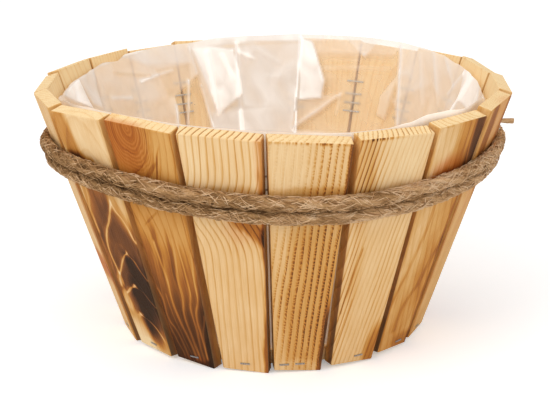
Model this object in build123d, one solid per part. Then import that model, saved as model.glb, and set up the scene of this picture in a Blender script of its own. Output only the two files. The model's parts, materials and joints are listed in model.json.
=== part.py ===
from build123d import *
import math
import os

# A round planter tub of flamed pine staves on a round base board, with a film liner inside
# and two turns of jute rope outside. Millimetres and degrees. The axis of the tub is Z, the
# floor is z = 0, the front is -Y, and azimuths run from the front towards +X.

# Tub
rim_radius = 152.0  # axis to the outer face of a stave, at its outer top edge
foot_radius = 99.9  # the same on the floor
rim_height = 160.0  # outer top edge above the floor
first_joint_azimuth = -100.0

# Staves
stave_thickness = 9.0
stave_gap_at_rim = 0.9  # between two inner faces
stave_gap_at_foot = 2.5
stave_arris = 0.5
rise_spread = 3.0  # what a share of 1 lengthens the top by
slant_spread = 3.6  # left top corner above the right one
sway_spread = 3.0  # foot moved to the right, seen from outside
lift_margin = 1.6  # highest foot below the base staples

# Base board
base_thickness = 10.0
base_lift = 2.0
base_seat = 0.3  # clearance to the staves

# Liner, a crumpled film bag
liner_wall = 0.6
liner_clearance = 0.9  # to the inner faces, over the staple crowns
liner_seat = 0.3  # above the base board
liner_stand = 2.6  # above the inner top edges
liner_fold_depth = 4.0  # how far the folds stand off the staves
liner_edge_sag = 12.0  # how much lower the edge hangs at the left and right
liner_columns = 36
liner_edge_power = 8  # how short the sagging stretches are

# Rope, two turns, and the strand end tucked between two staves
rope_diameter = 8.6
rope_turn_gap = 0.6
rope_turns = 2
rope_sides = 12
rope_seat = 0.3  # clearance to the corners of the staves
rope_middle_height = 121.4  # middle of the band, all round
rope_wave_height = 2.0  # how far it hangs and climbs
rope_start_azimuth = 97.0
rope_slack = 0.8  # how far it stands off at the left and right
strand_diameter = 2.8
strand_tuck = 2.4  # how deep it lies in the gap
strand_reach = 15.5  # how far it stands out of the gap
strand_rise = 2.9  # over the middle of the rope's end
strand_droop = 10.0  # degrees

# Staples of flat wire
joint_crown = 12.8
joint_leg = 7.0
base_crown = 5.8
base_leg = 15.0
wire_width = 1.0
wire_thickness = 0.6
base_crown_sink = 0.2
staple_clearance = 0.05
joint_staple_depth = 29.0  # first staple below the rim, along the slope
joint_staple_span = 22.0  # first staple to last
base_staple_cover = 1.5  # leg tips below the top of the base board

# Shares of each stave, chosen by eye: width, rise, slant, sway, and its foot's left and right lift
stave_shares = (
    (0.97, -0.30, 0.05, 0.00, 0.00, 0.00),
    (1.00, 0.00, -0.40, 0.80, 0.00, 0.00),
    (1.08, 0.65, -1.30, 1.25, 0.40, 0.45),
    (0.90, 1.20, 0.80, 0.95, 0.78, 0.02),
    (0.965, 0.50, 0.75, 1.10, 0.35, 0.00),
    (0.985, -0.50, 1.10, 0.45, 0.46, 0.00),
    (1.00, -0.65, 0.40, 0.90, 0.56, 0.20),
    (0.96, -0.45, 0.27, 0.85, 0.78, 0.42),
    (1.03, 0.05, 0.25, 0.50, 0.70, 0.54),
    (1.03, 0.25, -0.05, 0.00, 0.30, 0.40),
    (0.89, 0.45, -0.90, 0.10, 0.10, 0.00),
    (0.915, 0.50, 0.30, -0.10, 0.00, 0.00),
    (0.94, -0.20, -0.30, 0.00, 0.00, 0.00),
    (0.945, 0.30, 0.20, 0.15, 0.00, 0.12),
    (0.945, -0.40, 0.00, 0.00, 0.00, 0.00),
    (0.945, 0.20, -0.40, -0.15, 0.15, 0.00),
    (0.79, -0.30, 0.10, 0.00, 0.00, 0.00),
    (0.79, 0.20, 0.20, 0.10, 0.00, 0.10),
    (0.925, 0.10, -0.20, 0.00, 0.00, 0.00),
)
joint_staple_shares = (0.0, 0.42, 0.72, 1.0)  # along joint_staple_span
base_staple_shares = {6: (-0.58, 0.08), 7: (0.25,), 8: (0.35,)}  # of half a foot, by stave
even_staple_shares = (0.0,)  # else one staple in the middle of the foot
fold_reach_shares = (0.0, 0.7, 1.0, 1.0, 0.8, 0.3)  # of liner_fold_depth, from the foot to the edge
rope_wave_shares = ((-0.10, -0.50), (-0.60, -0.90), (-1.05, -0.55))  # cosine and sine, 1 to 3 a turn
fold_mix_shares = (12.9898, 78.233, 43758.5453)  # they scatter the folds in no visible order

full_turn = 360.0
quarters_per_turn = 4
samples_per_turn = 240
tangent_step_share = 1e-4  # of a turn

# Worked out from the values above
stave_count = len(stave_shares)
lean = math.degrees(math.atan2(rim_radius - foot_radius, rim_height))
cos_lean = math.cos(math.radians(lean))
sin_lean = math.sin(math.radians(lean))
slope_length = rim_height / cos_lean
base_top = base_lift + base_thickness
base_staple_height = base_top - base_leg * sin_lean - base_staple_cover
lift_spread = base_staple_height - lift_margin  # a share of 1 cuts a foot this far above the floor
inner_rim_height = rim_height + stave_thickness * sin_lean
rope_radius = rope_diameter / 2
strand_radius = strand_diameter / 2


def outer_radius(height):
    """Axis to the outer face of a stave at a height."""
    return foot_radius + (rim_radius - foot_radius) * height / rim_height


def inner_radius(height):
    """Axis to the inner face of a stave at a height."""
    return outer_radius(height) - stave_thickness / cos_lean


def radial(azimuth):
    return Vector(math.sin(math.radians(azimuth)), -math.cos(math.radians(azimuth)), 0)


def tangential(azimuth):
    return Vector(math.cos(math.radians(azimuth)), math.sin(math.radians(azimuth)), 0)


def face_normal(azimuth):
    """Outward normal of a stave's outer face."""
    return radial(azimuth) * cos_lean - Vector(0, 0, sin_lean)


def stave_pitch(index):
    """Angle of the circle that a stave takes up."""
    total_share = sum(shares[0] for shares in stave_shares)
    return full_turn * stave_shares[index % stave_count][0] / total_share


def joint_azimuth(index):
    """Azimuth of the joint on the left of a stave, seen from outside."""
    return first_joint_azimuth + sum(stave_pitch(i) for i in range(index))


def stave_azimuth(index):
    return joint_azimuth(index) + stave_pitch(index) / 2


def half_width(index, height):
    """Half the width of a stave where its outer face is at a height."""
    rim_inner = rim_radius - stave_thickness * cos_lean
    foot_inner = inner_radius(0)
    half_angle = math.radians(stave_pitch(index) / 2)
    at_rim = rim_inner * math.tan(half_angle) - stave_gap_at_rim / 2
    at_foot = foot_inner * math.tan(half_angle) - stave_gap_at_foot / 2
    return at_foot + (at_rim - at_foot) * height / rim_height


def stave_plane(index):
    """Outer face of a stave: x to the right, y up the slope, z outwards, from its foot."""
    azimuth = stave_azimuth(index)
    return Plane(
        origin=radial(azimuth) * foot_radius,
        x_dir=tangential(azimuth),
        z_dir=face_normal(azimuth),
    )


def sway_at(index, slope):
    """Sideways place of a stave's middle line at a distance up the slope."""
    return stave_shares[index][3] * sway_spread * (1 - slope / slope_length)


def stave_corner(index, side, slope):
    half = half_width(index, slope * cos_lean)
    return (sway_at(index, slope) + side * half, slope)


def staple(crown, leg, grow=0.0):
    """A U of flat wire, crown on z = 0 and legs down; grow makes it the cutter of its own hole."""
    width = wire_width + 2 * grow
    bar = Box(
        crown + 2 * grow,
        width,
        wire_thickness + grow,
        align=(Align.CENTER, Align.CENTER, Align.MIN),
    )
    post = Box(
        wire_thickness + 2 * grow,
        width,
        leg + wire_thickness + grow,
        align=(Align.CENTER, Align.CENTER, Align.MAX),
    )
    reach = crown / 2 - wire_thickness / 2
    top = Location((0, 0, wire_thickness))
    return bar + [top * Location((side * reach, 0, 0)) * post for side in (-1, 1)]


def base_staple_places():
    """Planes of the staples that hold the staves to the base board."""
    slope = base_staple_height / cos_lean
    for index in range(stave_count):
        half = half_width(index, base_staple_height)
        for share in base_staple_shares.get(index + 1, even_staple_shares):
            place = Location((sway_at(index, slope) + share * half, slope, -base_crown_sink))
            yield index, Location(stave_plane(index)) * place


def joint_staple_places():
    """Planes of the staples across the joints, on the inside, with the legs pointing out."""
    for index in range(stave_count):
        azimuth = joint_azimuth(index)
        half_angles = [math.radians(stave_pitch(i) / 2) for i in (index - 1, index)]
        for share in joint_staple_shares:
            slope = slope_length - joint_staple_depth - share * joint_staple_span
            height = slope * cos_lean + stave_thickness * sin_lean
            inner = inner_radius(height)
            reach = min(
                (inner - joint_crown / 2 * math.sin(angle)) / math.cos(angle)
                for angle in half_angles
            )
            origin = radial(azimuth) * reach + Vector(0, 0, height)
            yield index, Location(
                Plane(
                    origin=origin,
                    x_dir=tangential(azimuth) * -1,
                    z_dir=face_normal(azimuth) * -1,
                )
            )


def foot_plane(index):
    """Where a foot is cut off: level towards the axis, with its own height at each corner."""
    left, right = (share * lift_spread for share in stave_shares[index][4:])
    azimuth = stave_azimuth(index)
    across = tangential(azimuth) * (2 * half_width(index, 0)) + Vector(0, 0, right - left)
    origin = radial(azimuth) * foot_radius + Vector(0, 0, (left + right) / 2)
    return Plane(origin=origin, x_dir=across, z_dir=across.cross(radial(azimuth) * -1))


def make_stave(index, cutters):
    """A flat tapered board, its top cut square to it and its foot nearly level."""
    rise = slope_length + stave_shares[index][1] * rise_spread
    slant = stave_shares[index][2] * slant_spread / 2
    below = -stave_thickness
    outline = Polyline(
        stave_corner(index, -1, below),
        stave_corner(index, 1, below),
        stave_corner(index, 1, rise - slant),
        stave_corner(index, -1, rise + slant),
        close=True,
    )
    board = extrude(stave_plane(index) * make_face(outline), -stave_thickness)
    board = chamfer(board.edges(), stave_arris)
    board = split(board, foot_plane(index), keep=Keep.TOP)
    return board - cutters


def make_base(cutters):
    """A round board, its edge bevelled to the lean of the staves."""
    board = Cone(
        inner_radius(base_lift) - base_seat / cos_lean,
        inner_radius(base_top) - base_seat / cos_lean,
        base_thickness,
        align=(Align.CENTER, Align.CENTER, Align.MIN),
    )
    return Location((0, 0, base_lift)) * board - cutters


def fold_share(column, level):
    """How far a corner of the film's facets stands off the staves, 0 to 1."""
    across, upwards, scale = fold_mix_shares
    mixed = math.sin(across * (column % liner_columns) + upwards * level) * scale
    return (mixed - math.floor(mixed)) * fold_reach_shares[level]


def film_corner(column, level, depth):
    """A corner of the film's facets, at a depth inside the film's outer side."""
    levels = len(fold_reach_shares) - 1
    azimuth = full_turn * (column + level / 2) / liner_columns
    bottom = base_top + liner_seat + depth * (level == 0)
    sag = liner_edge_sag * abs(math.sin(math.radians(azimuth))) ** liner_edge_power
    top = inner_rim_height + liner_stand - sag
    height = bottom + (top - bottom) * level / levels
    reach = inner_radius(height) - (liner_clearance + depth) / cos_lean
    fold = face_normal(azimuth) * liner_fold_depth * fold_share(column, level)
    return radial(azimuth) * reach + Vector(0, 0, height) - fold


def film_side(depth):
    """One side of the film: rows of triangles from the floor to the edge."""
    faces = []
    for level in range(len(fold_reach_shares) - 1):
        for column in range(liner_columns):
            low = film_corner(column, level, depth)
            next_low = film_corner(column + 1, level, depth)
            high = film_corner(column, level + 1, depth)
            next_high = film_corner(column + 1, level + 1, depth)
            faces.append(Face(Wire.make_polygon((low, next_low, high))))
            faces.append(Face(Wire.make_polygon((next_low, next_high, high))))
    floor = [film_corner(column, 0, depth) for column in range(liner_columns)]
    faces.append(Face(Wire.make_polygon(floor)))
    return faces


def make_liner():
    """An open bag of film that stands on the base board and looks over the rim."""
    edge = []
    top = len(fold_reach_shares) - 1
    for column in range(liner_columns):
        outside, inside = (film_corner(column, top, depth) for depth in (0, liner_wall))
        next_outside, next_inside = (film_corner(column + 1, top, depth) for depth in (0, liner_wall))
        edge.append(Face(Wire.make_polygon((outside, next_outside, inside))))
        edge.append(Face(Wire.make_polygon((next_outside, next_inside, inside))))
    liner = Solid(Shell(film_side(0) + film_side(liner_wall) + edge))
    return liner if liner.volume > 0 else -liner


def rope_height(turns):
    """Height of the rope's middle after some turns from its upper end: it steps down at the back."""
    drop = (rope_diameter + rope_turn_gap) * cos_lean
    front = turns - rope_start_azimuth / full_turn
    eased = front - math.sin(2 * math.pi * front) / (2 * math.pi)
    azimuth = math.radians(rope_start_azimuth - full_turn * turns)
    wave = sum(
        across * math.cos(count * azimuth) + along * math.sin(count * azimuth)
        for count, (across, along) in enumerate(rope_wave_shares, 1)
    )
    return rope_middle_height + rope_wave_height * wave + drop * ((rope_turns - 1) / 2 - eased)


def rope_point(turns):
    """A point of the winding: outside the staves' corners, slack at the two sides."""
    azimuth = rope_start_azimuth - full_turn * turns
    height = rope_height(turns)
    corner = math.hypot(outer_radius(height), half_width(0, height))
    slack = rope_slack * math.sin(math.radians(azimuth)) ** 2
    reach = corner + (rope_radius + rope_seat) / cos_lean + slack
    return radial(azimuth) * reach + Vector(0, 0, height)


def rope_tangent(turns):
    step = tangent_step_share
    return (rope_point(turns + step) - rope_point(turns - step)).normalized()


def biarc(start, start_tangent, end, end_tangent):
    """Two arcs that join two points with a given direction at each."""
    chord = end - start
    both = start_tangent + end_tangent
    a = 2 * (1 - start_tangent.dot(end_tangent))
    b = 2 * chord.dot(both)
    handle = (math.sqrt(b * b + 4 * a * chord.dot(chord)) - b) / (2 * a)
    middle = (start + start_tangent * handle + end - end_tangent * handle) * 0.5
    first = Edge.make_tangent_arc(start, start_tangent, middle)
    second = Edge.make_tangent_arc(middle, first.tangent_at(1), end)
    return [first, second]


def rope_route():
    arcs = []
    for quarter in range(rope_turns * quarters_per_turn):
        start, end = quarter / quarters_per_turn, (quarter + 1) / quarters_per_turn
        arcs += biarc(rope_point(start), rope_tangent(start), rope_point(end), rope_tangent(end))
    return Wire(arcs)


def rope_section(route):
    outline = RegularPolygon(rope_radius, rope_sides)
    return Plane(origin=route @ 0, z_dir=route % 0) * outline


def print_rope_facts(route, rope):
    """Least gap between the turns, and the solid's volume against section times length."""
    count = rope_turns * samples_per_turn
    points = [route.position_at(i / count) for i in range(count + 1)]
    half = samples_per_turn // 2
    nearest = min(
        (points[i] - points[j]).length
        for i in range(count + 1)
        for j in range(i + half, count + 1)
    )
    plain = rope_section(route).area * route.length
    print("rope: least gap to itself", round(nearest - rope_diameter, 3), "mm, length",
          round(route.length, 1), "mm, volume share", round(rope.volume / plain, 4))


def make_rope():
    route = rope_route()
    rope = sweep(rope_section(route), path=route)
    print_rope_facts(route, rope)
    return rope


def make_strand():
    """A strand at the rope's upper end: tucked in a gap between two staves, it sticks out."""
    index = min(range(stave_count), key=lambda i: abs(joint_azimuth(i) - rope_start_azimuth))
    azimuth = joint_azimuth(index)
    end = rope_point(0)
    reach = math.hypot(end.X, end.Y)
    point = radial(azimuth) * reach + Vector(0, 0, end.Z + strand_rise)
    droop = math.radians(strand_droop)
    along = radial(azimuth) * math.cos(droop) - Vector(0, 0, math.sin(droop))
    gap_mouth = outer_radius(point.Z) - reach
    start = point + along * ((gap_mouth - strand_tuck) / math.cos(droop))
    section = Plane(origin=start, z_dir=along) * Circle(strand_radius)
    return extrude(section, strand_tuck + strand_reach)


def write(name, shape):
    shape.label = name
    export_step(shape, f"parts/{name}.step")


def main():
    os.makedirs("parts", exist_ok=True)
    base_places = list(base_staple_places())
    joint_places = list(joint_staple_places())
    base_cutter = staple(base_crown, base_leg, staple_clearance)
    joint_cutter = staple(joint_crown, joint_leg, staple_clearance)
    for index in range(stave_count):
        neighbours = (index, (index + 1) % stave_count)
        cutters = [place * base_cutter for owner, place in base_places if owner == index]
        cutters += [place * joint_cutter for owner, place in joint_places if owner in neighbours]
        write(f"stave_{index + 1:02d}", make_stave(index, cutters))
    write("base_board", make_base([place * base_cutter for owner, place in base_places]))
    write("liner", make_liner())
    write("rope", make_rope())
    write("rope_strand_end", make_strand())
    base_staple = staple(base_crown, base_leg)
    joint_staple = staple(joint_crown, joint_leg)
    write("base_staples", Compound([place * base_staple for owner, place in base_places]))
    write("joint_staples", Compound([place * joint_staple for owner, place in joint_places]))


main()
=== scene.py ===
import bpy
import json
import random
from math import atan2, cos, degrees, exp, floor, hypot, pi, radians, sin, tan
from mathutils import Matrix, Vector, noise

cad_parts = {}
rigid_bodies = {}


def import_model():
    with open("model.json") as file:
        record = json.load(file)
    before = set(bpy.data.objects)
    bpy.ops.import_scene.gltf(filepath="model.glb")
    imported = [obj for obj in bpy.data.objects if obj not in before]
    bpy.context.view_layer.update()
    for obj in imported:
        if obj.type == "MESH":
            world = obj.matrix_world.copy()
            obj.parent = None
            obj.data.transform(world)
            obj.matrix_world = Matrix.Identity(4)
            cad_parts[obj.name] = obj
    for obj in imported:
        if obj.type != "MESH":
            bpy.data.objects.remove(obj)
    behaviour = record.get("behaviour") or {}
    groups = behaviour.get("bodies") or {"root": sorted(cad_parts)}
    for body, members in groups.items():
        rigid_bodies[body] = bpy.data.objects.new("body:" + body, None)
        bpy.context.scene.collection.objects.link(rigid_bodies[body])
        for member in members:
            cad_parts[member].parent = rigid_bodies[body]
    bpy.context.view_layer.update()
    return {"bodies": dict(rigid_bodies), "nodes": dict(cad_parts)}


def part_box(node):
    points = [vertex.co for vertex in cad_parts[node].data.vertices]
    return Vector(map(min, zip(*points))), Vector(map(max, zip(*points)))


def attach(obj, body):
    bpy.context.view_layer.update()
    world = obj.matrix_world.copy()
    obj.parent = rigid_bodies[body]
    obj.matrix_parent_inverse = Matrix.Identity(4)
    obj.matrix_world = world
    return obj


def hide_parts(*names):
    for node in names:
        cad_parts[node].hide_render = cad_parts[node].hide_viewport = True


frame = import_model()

nodes = frame["nodes"]
body = next(iter(frame["bodies"]))
mm = 0.001

# The tub as it was built: metres, degrees, azimuths from the front towards +X
tub = {
    "rimRadius": 152 * mm,
    "footRadius": 99.9 * mm,
    "rimHeight": 160 * mm,
    "firstJoint": -100,
    "boardThickness": 9 * mm,
    "gapAtRim": 0.9 * mm,
    "gapAtFoot": 2.5 * mm,
    "rise": 3 * mm,
    "slant": 3.6 * mm,
    "sway": 3 * mm,
}
# Shares of each stave: width, rise, slant, sway
staveShares = (
    (0.97, -0.3, 0.05, 0), (1, 0, -0.4, 0.8), (1.08, 0.65, -1.3, 1.25),
    (0.9, 1.2, 0.8, 0.95), (0.965, 0.5, 0.75, 1.1), (0.985, -0.5, 1.1, 0.45),
    (1, -0.65, 0.4, 0.9), (0.96, -0.45, 0.27, 0.85), (1.03, 0.05, 0.25, 0.5),
    (1.03, 0.25, -0.05, 0), (0.89, 0.45, -0.9, 0.1), (0.915, 0.5, 0.3, -0.1),
    (0.94, -0.2, -0.3, 0), (0.945, 0.3, 0.2, 0.15), (0.945, -0.4, 0, 0),
    (0.945, 0.2, -0.4, -0.15), (0.79, -0.3, 0.1, 0), (0.79, 0.2, 0.2, 0.1),
    (0.925, 0.1, -0.2, 0),
)
widthSum = sum(shares[0] for shares in staveShares)
lean = atan2(tub["rimRadius"] - tub["footRadius"], tub["rimHeight"])
slope = tub["rimHeight"] / cos(lean) / mm  # length of a stave, mm


def radial(azimuth):
    return Vector((sin(radians(azimuth)), -cos(radians(azimuth)), 0))


def tangential(azimuth):
    return Vector((cos(radians(azimuth)), sin(radians(azimuth)), 0))


def outerRadius(height):
    return tub["footRadius"] + (tub["rimRadius"] - tub["footRadius"]) * height / tub["rimHeight"]


def innerRadius(height):
    return outerRadius(height) - tub["boardThickness"] / cos(lean)


def smooth(low, high, value):
    share = min(max((value - low) / (high - low), 0), 1)
    return share * share * (3 - 2 * share)


def waver(place):
    return noise.noise(Vector(place))


def linear(red, green, blue):  # a colour as seen on screen, 0 to 255, in the shader's own scale
    channels = [c / 255 for c in (red, green, blue)]
    return tuple(c / 12.92 if c < 0.04045 else ((c + 0.055) / 1.055) ** 2.4 for c in channels) + (1,)


def stavePitch(index):
    return 360 * staveShares[index][0] / widthSum


def staveFrame(index):  # x to the right on the outer face, y up the slope, z outwards, from the foot
    azimuth = tub["firstJoint"] + sum(stavePitch(i) for i in range(index)) + stavePitch(index) / 2
    rise, slant, sway = staveShares[index][1:]
    right = tangential(azimuth)
    out = radial(azimuth) * cos(lean) - Vector((0, 0, sin(lean)))
    turn = Matrix((right, out.cross(right), out)).transposed()
    half = tan(radians(stavePitch(index) / 2))
    rimInner = tub["rimRadius"] - tub["boardThickness"] * cos(lean)
    return {
        "origin": radial(azimuth) * tub["footRadius"],
        "turn": turn.to_euler("XYZ"),
        "halfRim": (rimInner * half - tub["gapAtRim"] / 2) / mm,
        "halfFoot": (innerRadius(0) * half - tub["gapAtFoot"] / 2) / mm,
        "sway": sway * tub["sway"] / mm,
        "top": slope + rise * tub["rise"] / mm,
        "slant": slant * tub["slant"] / mm / 2,
    }


class Flow:  # one socket of a material's nodes, so that plain maths on it adds Math nodes
    def __init__(self, tree, socket=None):
        self.tree = tree
        self.socket = socket

    def node(self, kind, settings=None, sockets=None, output=0):
        made = self.tree.nodes.new("ShaderNode" + kind)
        for key, value in (settings or {}).items():
            if key == "stops":
                while len(made.color_ramp.elements) < len(value):
                    made.color_ramp.elements.new(1)
                for element, (place, colour) in zip(made.color_ramp.elements, value):
                    element.position = place
                    element.color = colour
            elif key == "curve":
                points = made.mapping.curves[0].points
                while len(points) < len(value):
                    points.new(0.5, 0.5)
                for point, place in zip(points, value):
                    point.location = place
                made.mapping.update()
            else:
                setattr(made, key, value)
        for key, value in (sockets or {}).items():
            if isinstance(value, Flow):
                self.tree.links.new(value.socket, made.inputs[key])
            else:
                made.inputs[key].default_value = value
        return Flow(self.tree, made.outputs[output])

    def maths(self, operation, *values):
        return self.node("Math", {"operation": operation}, dict(enumerate(values)))

    def __add__(self, other):
        return self.maths("ADD", self, other)

    __radd__ = __add__

    def __mul__(self, other):
        return self.maths("MULTIPLY", self, other)

    __rmul__ = __mul__

    def __sub__(self, other):
        return self.maths("SUBTRACT", self, other)

    def __rsub__(self, other):
        return self.maths("SUBTRACT", other, self)

    def __truediv__(self, other):
        return self.maths("DIVIDE", self, other)

    def __pow__(self, other):
        return self.maths("POWER", self, other)

    def __abs__(self):
        return self.maths("ABSOLUTE", self)

    def most(self, other):
        return self.maths("MAXIMUM", self, other)

    def bell(self, middle, reach):
        return self.maths("EXPONENT", ((self - middle) / reach) ** 2 * -1)

    def step(self, low, high):
        sockets = {"Value": self, "From Min": low, "From Max": high}
        return self.node("MapRange", {"interpolation_type": "SMOOTHSTEP"}, sockets)

    def wave(self, length):
        return self.maths("SINE", self * (2 * pi / length)) * 0.5 + 0.5

    def blend(self, start, end):  # this socket is the factor between two numbers or number sockets
        return self * end + (1 - self) * start

    def parts(self):
        return [self.node("SeparateXYZ", None, {"Vector": self}, i) for i in range(3)]

    def grains(self, sizes, shift=0, detail=2, rough=0.5):  # noise with grains of these sizes
        sockets = {"Vector": self, "Scale": [1 / s for s in sizes], "Location": (shift, shift, shift)}
        sockets = {"Vector": self.node("Mapping", None, sockets), "Scale": 1, "Detail": detail}
        return self.node("TexNoise", None, {**sockets, "Roughness": rough})

    def ramp(self, stops):  # colours of three numbers are as seen on screen, those of four are linear
        stops = [(place, colour if len(colour) == 4 else linear(*colour)) for place, colour in stops]
        return self.node("ValToRGB", {"stops": stops}, {"Fac": self})

    def tint(self, kind, first, second):  # this socket is the factor between two colours
        settings = {"data_type": "RGBA", "blend_type": kind}
        return self.node("Mix", settings, {0: self, 6: first, 7: second}, 2)


def newMaterial(name):
    material = bpy.data.materials.new(name)
    material.use_nodes = True
    material.node_tree.nodes.clear()
    return material, Flow(material.node_tree)


def endTree(start, kind, shader):
    output = start.tree.nodes.new(kind)
    start.tree.links.new(shader.socket, output.inputs["Surface"])


def finished(material, start, sockets):
    endTree(start, "ShaderNodeOutputMaterial", start.node("BsdfPrincipled", None, sockets))
    return material


def dress(piece, material):
    piece.data.materials.clear()
    piece.data.materials.append(material)


# How a flame colours pine, from raw wood to char, and sawn wood from early to late
flameStops = (
    (0, (246, 219, 172)), (0.14, (235, 197, 144)), (0.3, (217, 166, 97)), (0.45, (198, 134, 58)),
    (0.58, (162, 97, 42)), (0.72, (116, 69, 33)), (0.86, (84, 49, 24)), (1, (56, 35, 18)),
)
rawStops = ((0, (255, 228, 178)), (0.5, (241, 195, 130)), (1, (184, 124, 66)))

plainBoard = {
    "heart": (-60, -70, 0, 0.1),  # line of the tree's heart: across, out, and their change per mm upwards
    "ring": 3.6,  # growth ring, mm
    "late": 0.55,  # where the dark part of a ring starts
    "wobble": 1,
    "bend": (0, 0.5, 0.2),  # sideways sweep of the grain: mm, middle and reach as shares of the slope
    "tone": 0.12,
    "mottle": 0.12,
    "line": 0.22,  # how much darker the late wood is on a pale board
    "bright": 0.3,  # how much lighter it is on a charred one
    "fibre": 0.1,
    "edge": 0.1,
    "side": 0.45,
    "dash": 0,
    "end": 0.2,  # late wood on the top end
    # patches of flame colour; a few dark ones at a board's right edge near the top are partly painted shadow
    # of the gap
    "scorchAndShadow": (),  # across, up, reach across, reach up, strength, and a turn in degrees if it has one
    "knots": (),  # across mm, up mm, stretch, ring mm, reach mm, shade
    "strokes": (),  # places (across, up, ...) in mm from the foot upwards, half width mm, strength
    "red": (),
    "redColour": (232, 176, 140),
}

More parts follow.
